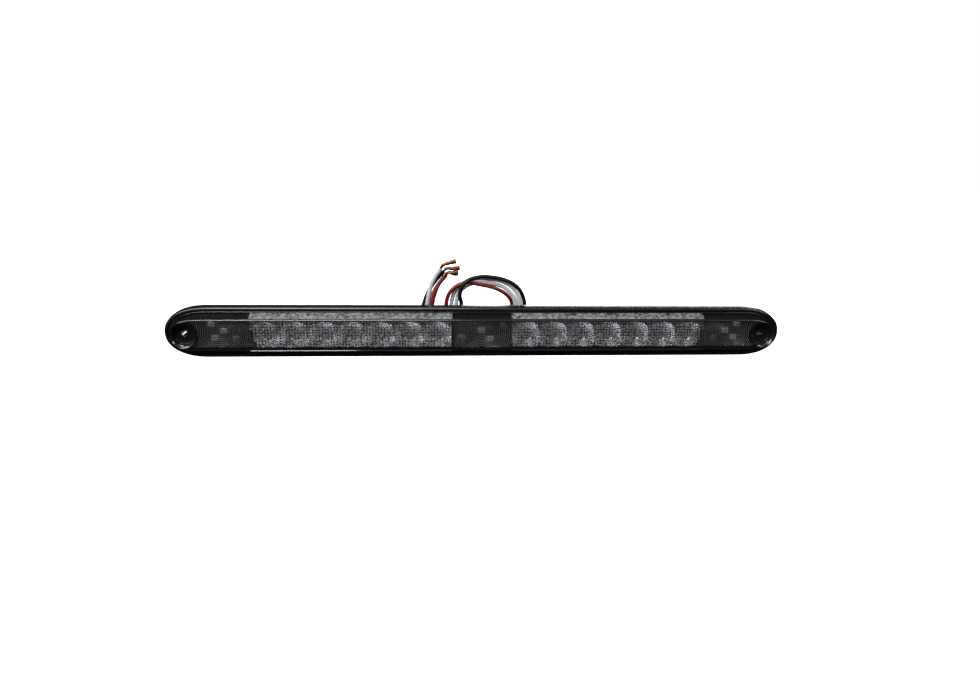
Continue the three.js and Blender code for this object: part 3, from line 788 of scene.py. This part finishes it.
def ring_sheet(name, centre_x, centre_up, reach):
    """Concentric rings standing on a clear plate; each ring is a narrow ridge towards the viewer whose faces
    carry a painted glint.
    """
    radii, heights = [0.0], [0.0]
    for ring in range(math.ceil(reach / RING_PITCH)):
        for part, height in RING_PROFILE:
            radii.append((ring + part) * RING_PITCH)
            heights.append(height * RING_HEIGHT)
    points = [
        place(centre_x + radius * math.cos(2 * math.pi * spoke / RING_SPOKES),
              centre_up + radius * math.sin(2 * math.pi * spoke / RING_SPOKES), PLATE_FRONT + height)
        for radius, height in zip(radii, heights) for spoke in range(RING_SPOKES)
    ]
    faces, slots = [], []
    for step in range(len(radii) - 1):
        middle = (radii[step] + radii[step + 1]) / 2
        for spoke in range(RING_SPOKES):
            angle = 2 * math.pi * (spoke + 0.5) / RING_SPOKES
            if not in_id_section(centre_x + middle * math.cos(angle), centre_up + middle * math.sin(angle)):
                continue
            a, b = step * RING_SPOKES + spoke, step * RING_SPOKES + (spoke + 1) % RING_SPOKES
            faces.append((a, a + RING_SPOKES, b + RING_SPOKES, b))
            # ridge faces get the painted glint look, flat faces the clear plate
            slots.append(1 if heights[step] != heights[step + 1] else 0)
    mesh = bpy.data.meshes.new(name)
    mesh.from_pydata(points, [], faces)
    mesh.materials.append(LOOKS["plate"])
    mesh.materials.append(LOOKS["ridge"])
    mesh.polygons.foreach_set("material_index", slots)
    return mesh


def make_optics():
    for side, name in zip(SIDES, ("left", "right")):
        add_piece(f"pillow_optic_{name}", pillow_sheet("pillows", side), "pillow", "smoked_lens")
        add_piece(f"ring_optic_{name}", ring_sheet("rings", side * ID_X, 0.7, 27), None, "smoked_lens")
    add_piece("ring_optic_center", ring_sheet("rings", 0, 0.9, 22), None, "smoked_lens")


# ------------------------------------------------------------------ reflectors
CELL_PITCH, CELL_COUNT = 18.35, 7
REFLECTOR_BACK, REFLECTOR_FLOOR, REFLECTOR_FRONT = 6.4, 7.2, 14.2
WELL = (2.3, 2.0)                      # half width and half height of the opening around an LED
FLANGE_BACK, FLANGE_HALF_HEIGHT = 9.0, 10.6      # sloping flange along the long edges
NOTCH_DEPTH, NOTCH_WIDTH = 0.5, 1.6    # of the notches between the cells
FLUTE_DEPTH = 0.15                     # of the fine flutes on the flange
LED_DROP = 3.2                         # brake LEDs sit this far below the middle of their cells
PEBBLE_PITCH, PEBBLE_RISE = CELL_PITCH / 12, 0.08     # fine pebbling all over the bowls
BOWL_POWER = 3.0                       # 2 is a round bowl; more fills the corners of the cell
BOWL_OVERSHOOT = 1.04                  # the bowl reaches the rim before the edge of its cell


def cell_height(u, up):
    """How far forward a bowl's surface is at a point of its cell."""
    above = up + LED_DROP
    if abs(u) < WELL[0] + 0.01 and abs(above) < WELL[1] + 0.01:
        return REFLECTOR_BACK + 0.3
    reach_up = WINDOW_HALF_HEIGHT + math.copysign(LED_DROP, above)
    across = abs(u * 2 / CELL_PITCH)
    reach = (across ** BOWL_POWER + abs(above / reach_up) ** BOWL_POWER) ** (2 / BOWL_POWER)
    depth = REFLECTOR_FRONT - REFLECTOR_FLOOR
    bowl = min(REFLECTOR_FLOOR + depth * BOWL_OVERSHOOT * reach, REFLECTOR_FRONT)
    pebbles = math.cos(2 * math.pi * u / PEBBLE_PITCH) + math.cos(2 * math.pi * up / PEBBLE_PITCH)
    return bowl + PEBBLE_RISE * (pebbles - 2)


def cell_cuts(half, well, pieces, drop=0.0):
    """Grid lines across a cell, with close pairs at the edges of the LED's opening."""
    even = [half * (2 * k / pieces - 1) for k in range(pieces + 1)]
    return sorted(set(even + [edge - drop for edge in (-well - 0.05, -well, well, well + 0.05)]))


def reflector_mesh(side):
    """A block of metallised bowls, one for each LED, with a leaning outer end."""
    cuts = cell_cuts(CELL_PITCH / 2, WELL[0], 70)
    xs, heights_at = [], []
    for cell in range(CELL_COUNT):
        for u in cuts[(1 if cell else 0):]:
            xs.append((cell - (CELL_COUNT - 1) / 2) * CELL_PITCH + u)
            heights_at.append(u)
    ups = cell_cuts(WINDOW_HALF_HEIGHT, WELL[1], 66, LED_DROP)
    points = []
    for x, u in zip(xs, heights_at):
        for up in ups:
            squeeze = max(x * side, 0.0) / WINDOW_HALF
            lean = WINDOW_SLANT * (0.5 - up / (2 * WINDOW_HALF_HEIGHT)) * squeeze ** 8
            points.append(place(x - side * lean + side * WINDOW_X, up, cell_height(u, up)))
    rows = len(ups)
    faces = [
        (i * rows + j, (i + 1) * rows + j, (i + 1) * rows + j + 1, i * rows + j + 1)
        for i in range(len(xs) - 1) for j in range(rows - 1)
    ]
    border = [i * rows for i in range(len(xs))]
    border += [(len(xs) - 1) * rows + j for j in range(1, rows)]
    border += [i * rows + rows - 1 for i in range(len(xs) - 2, -1, -1)]
    border += [j for j in range(rows - 2, 0, -1)]
    inside = len(faces)
    count = len(border)
    spread = FLANGE_HALF_HEIGHT / WINDOW_HALF_HEIGHT
    rim = [points[index].copy() for index in border]
    first = len(points)
    for point in rim:
        across = (point.x / MM - side * WINDOW_X) / CELL_PITCH + CELL_COUNT / 2
        notch = NOTCH_DEPTH if abs(across - round(across)) < NOTCH_WIDTH / CELL_PITCH / 2 else 0
        dip = FLUTE_DEPTH * (1 - math.cos(2 * math.pi * point.x / MM / PEBBLE_PITCH))
        flute = 1 - notch / FLANGE_HALF_HEIGHT - dip / FLANGE_HALF_HEIGHT
        points.append(Vector((point.x, -FLANGE_BACK * MM, point.z * spread * flute)))
    points += [Vector((point.x, -FLANGE_BACK * MM, point.z)) for point in rim]
    points += [Vector((point.x, -REFLECTOR_BACK * MM, point.z)) for point in rim]
    rings = [border] + [list(range(first + turn * count, first + (turn + 1) * count)) for turn in range(3)]
    for upper, lower in zip(rings, rings[1:]):
        for k in range(count):
            after = (k + 1) % count
            faces.append((upper[k], lower[k], lower[after], upper[after]))
    faces.append(tuple(reversed(rings[-1])))
    mesh = bpy.data.meshes.new("reflector")
    mesh.from_pydata(points, [], faces)
    mesh.materials.append(LOOKS["chrome"])
    mesh.materials.append(LOOKS["chrome_outside"])
    for face in mesh.polygons[inside:]:
        face.material_index = 1
    return mesh


def make_reflectors():
    for side, name in zip(SIDES, ("left", "right")):
        piece = add_piece(f"mirror_{name}", reflector_mesh(side), None, "reflector", f"reflector_{name}")
        piece.data.shade_smooth()
        piece.data.set_sharp_from_angle(angle=math.radians(30))


# ------------------------------------------------------------------ board parts
PART_SEAT = 6.3                        # where parts stand, just above the board


def seat_of(node):
    """Where a part stands on the board: the middle of its back face."""
    low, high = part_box(node)
    return Vector(((low.x + high.x) / 2, high.y, (low.z + high.z) / 2))


def stand_on_board(mesh, slot, nodes, suffix):
    """One piece per node, all sharing the mesh, each standing where its CAD node stands."""
    for node in nodes:
        piece = add_piece(f"{node}_{suffix}", mesh, None, slot, node)
        piece.location = seat_of(node)


def led_mesh(half_width, half_height, emitter, look):
    """An LED package with metal feet and a shallow cup that holds the yellow encapsulant."""
    body = loft("package", [
        (rounded_rectangle(half_width, half_height, 0.25, 3), 0.15),
        (rounded_rectangle(half_width, half_height, 0.25, 3), 1.3),
        (rounded_rectangle(half_width - 0.1, half_height - 0.1, 0.2, 3), 1.4),
    ])
    cup = turned("cup", [(emitter * 0.8, 0.9), (emitter, 1.5)], 0, 0, 32)
    body = combine(painted(body, look), [painted(cup, look)])
    dome = turned("dome", [
        (emitter * 0.8, 0.85), (emitter * 0.97, 1.3), (emitter * 0.8, 1.5), (emitter * 0.45, 1.62),
        (0.01, 1.66),
    ], 0, 0, 32)
    foot = rounded_rectangle(0.45, half_height * 0.8, 0.1, 2)
    feet = [prism("foot", moved(foot, sx * (half_width - 0.3)), 0.0, 0.3) for sx in SIDES]
    mesh = merged("led", [body, painted(dome, "emitter"), *(painted(mesh, "tin") for mesh in feet)])
    mesh.shade_smooth()
    mesh.set_sharp_from_angle(angle=math.radians(35))
    return mesh


def chip_mesh(half_width, half_height, height, cap):
    """A small component: a block body between two soldered end caps."""
    body = loft("chip", [
        (rounded_rectangle(half_width - 0.25, half_height, 0.15, 3), 0.05),
        (rounded_rectangle(half_width - 0.25, half_height, 0.15, 3), height - 0.12),
        (rounded_rectangle(half_width - 0.4, half_height - 0.15, 0.12, 3), height),
    ])
    ends = [
        prism("end", moved(rounded_rectangle(cap, half_height * 0.92, 0.12, 3), sx * (half_width - cap)), 0.0,
              min(height * 0.9, 0.75))
        for sx in SIDES
    ]
    mesh = merged("chip", [painted(body, "ceramic"), *(painted(end, "tin") for end in ends)])
    mesh.shade_smooth()
    mesh.set_sharp_from_angle(angle=math.radians(35))
    return mesh


def screw_mesh():
    """A pan-head screw with a cross recess."""
    head = turned("screw", [(1.0, -2.3), (1.0, 0), (2.6, 0), (2.7, 0.15), (2.7, 0.8), (2.4, 1.3), (1.7, 1.6),
                            (0.8, 1.7)], 0, 0, 40)
    slots = [prism("slot", rounded_rectangle(w, h, 0.1, 2), 0.7, 3) for w, h in ((1.5, 0.27), (0.27, 1.5))]
    mesh = combine(painted(head, "zinc"), [painted(slot, "zinc") for slot in slots])
    mesh.shade_smooth()
    mesh.set_sharp_from_angle(angle=math.radians(35))
    return mesh


def capacitor_mesh():
    """A small aluminium can on a moulded base, crimped near its foot and scored on top."""
    can = turned("can", [
        (3.4, 0.9), (3.4, 1.5), (3.1, 1.7), (3.4, 1.95), (3.4, 5.9), (3.15, 6.2), (2.8, 6.25),
    ], 0, 0, 48)
    scores = [prism("score", rounded_rectangle(w, h, 0.05, 2), 6.1, 7) for w, h in ((2.4, 0.12), (0.12, 2.4))]
    can = combine(painted(can, "aluminium"), [painted(score, "aluminium") for score in scores])
    base = prism("base", rounded_rectangle(3.7, 3.7, 1.2, 4), 0.0, 1.1)
    mesh = merged("capacitor", [can, painted(base, "ceramic")])
    mesh.shade_smooth()
    mesh.set_sharp_from_angle(angle=math.radians(35))
    return mesh


def make_board_parts():
    """Every LED, chip and screw on the board, one mesh for each kind."""
    for kind, mesh, slot, suffix in (
        ("brake_led", led_mesh(1.75, 1.4, 1.15, "package"), "led", "package"),
        ("id_led", led_mesh(1.9, 1.7, 1.4, "white_package"), "led", "package"),
        ("resistor", chip_mesh(2.6, 1.4, 0.7, 0.45), "ceramic", "chip"),
        ("diode", chip_mesh(2.1, 1.3, 2.1, 0.3), "ceramic", "chip"),
        ("board_screw", screw_mesh(), "steel", "head"),
        ("filter_capacitor", capacitor_mesh(), "aluminium", "can"),
    ):
        stand_on_board(mesh, slot, [node for node in frame["nodes"] if node.startswith(kind)], suffix)
    for screw in bpy.data.objects:
        if screw.name.startswith("board_screw") and screw.name.endswith("_head"):
            screw.location.y = -PART_SEAT * MM


def make_board_copper():
    """Gold-plated pads beside every LED and gold-plated tracks between them, raised on the board."""
    strips = []
    for node in frame["nodes"]:
        if not node.startswith(("brake_led", "id_led")):
            continue
        seat = seat_of(node) / MM
        size = (0.9, 1.5) if node.startswith("brake") else (1.1, 1.9)
        for sx in SIDES:
            strips.append(moved(rounded_rectangle(*size, 0.2, 2), seat.x + sx * 2.7, seat.z))
    for side in SIDES:
        for up, start, end in ((-8.7, 20, 176), (8.7, 20, 150), (7.4, 156, 176)):
            strip = rounded_rectangle((end - start) / 2, 0.25, 0.24, 2)
            strips.append(moved(strip, side * (start + end) / 2, up))
    top = PART_SEAT - 0.03
    meshes = [painted(prism("strip", outline, top - 0.06, top), "gold") for outline in strips]
    add_piece("board_copper", merged("board_copper", meshes), None, "led")


# CAD pieces that are kept as they are and only get a look.
KEPT_CAD = {
    "mounting_gasket": "foam", "lens_seal": "rubber", "circuit_board": "board", "lead_grommet": "rubber",
}


def finish_cad_parts():
    for node, look in KEPT_CAD.items():
        for slot in frame["nodes"][node].material_slots:
            slot.material = LOOKS[look]


make_housing()
make_lens()
make_optics()
make_reflectors()
make_board_parts()
make_board_copper()
finish_cad_parts()

# ------------------------------------------------------------------ stage and light
FLOOR_Z = -0.11
FLOOR_SIZE = 6.0
BRIGHT_SIDE = (-0.42, -0.55, 0.72)     # direction of the studio's bright side
COOL, WARM, WHITE = (0.94, 0.97, 1.0), (1.0, 0.95, 0.88), (1.0, 1.0, 1.0)


def add_floor():
    mesh = bpy.data.meshes.new("floor")
    half = FLOOR_SIZE / 2
    corners = [(sx * half, sy * half, FLOOR_Z) for sx, sy in ((-1, -1), (1, -1), (1, 1), (-1, 1))]
    mesh.from_pydata(corners, [], [(0, 1, 2, 3)])
    paper, _, _ = plain_shader("floor_paper", {
        "Base Color": grey(0.9), "Roughness": 0.9, "Emission Color": grey(1), "Emission Strength": 0.75,
    })
    mesh.materials.append(paper)
    floor = bpy.data.objects.new("floor", mesh)
    bpy.context.collection.objects.link(floor)
    floor.visible_glossy = floor.visible_diffuse = floor.visible_transmission = False


def add_softbox(name, at, size, power, colour, aim=(0, 0, 0)):
    lamp = bpy.data.lights.new(name, "AREA")
    lamp.color = colour
    lamp.shape, lamp.size, lamp.size_y, lamp.energy = "RECTANGLE", size[0], size[1], power
    box = bpy.data.objects.new(name, lamp)
    box.location = at
    box.rotation_euler = (Vector(aim) - Vector(at)).to_track_quat("-Z", "Y").to_euler()
    bpy.context.collection.objects.link(box)


def light_world():
    """White behind the object; for light and reflections a studio that is bright up in front."""
    world = bpy.data.worlds.new("studio")
    bpy.context.scene.world = world
    world.use_nodes = True
    tree = world.node_tree
    where = add_node(tree, "ShaderNodeTexCoord")
    facing = add_node(tree, "ShaderNodeVectorMath", operation="DOT_PRODUCT")
    facing.inputs[1].default_value = BRIGHT_SIDE
    height = add_node(tree, "ShaderNodeMapRange", {
        "From Min": 0.5, "From Max": 0.98, "To Min": 0.01, "To Max": 0.9,
    })
    path = add_node(tree, "ShaderNodeLightPath")
    level = add_node(tree, "ShaderNodeMix", data_type="FLOAT")
    tree.links.new(where.outputs["Generated"], facing.inputs[0])
    tree.links.new(facing.outputs["Value"], height.inputs["Value"])
    tree.links.new(path.outputs["Is Camera Ray"], level.inputs["Factor"])
    tree.links.new(height.outputs["Result"], level.inputs["A"])
    level.inputs["B"].default_value = 1.0
    tree.links.new(level.outputs["Result"], tree.nodes["Background"].inputs["Strength"])
    tree.nodes["Background"].inputs["Color"].default_value = grey(1)


add_floor()
light_world()
add_softbox("key", (-0.55, -0.8, 0.8), (1.2, 0.5), 16, COOL)
add_softbox("overhead", (-0.24, -0.1, 0.9), (0.3, 0.5), 9, COOL, aim=(-0.1, 0, 0))
add_softbox("fill", (0.75, -0.6, 0.7), (0.5, 0.4), 4, WARM)
add_softbox("back", (0.3, 0.9, 0.12), (0.6, 0.3), 5, WHITE)
bpy.context.scene.view_settings.view_transform = "Standard"
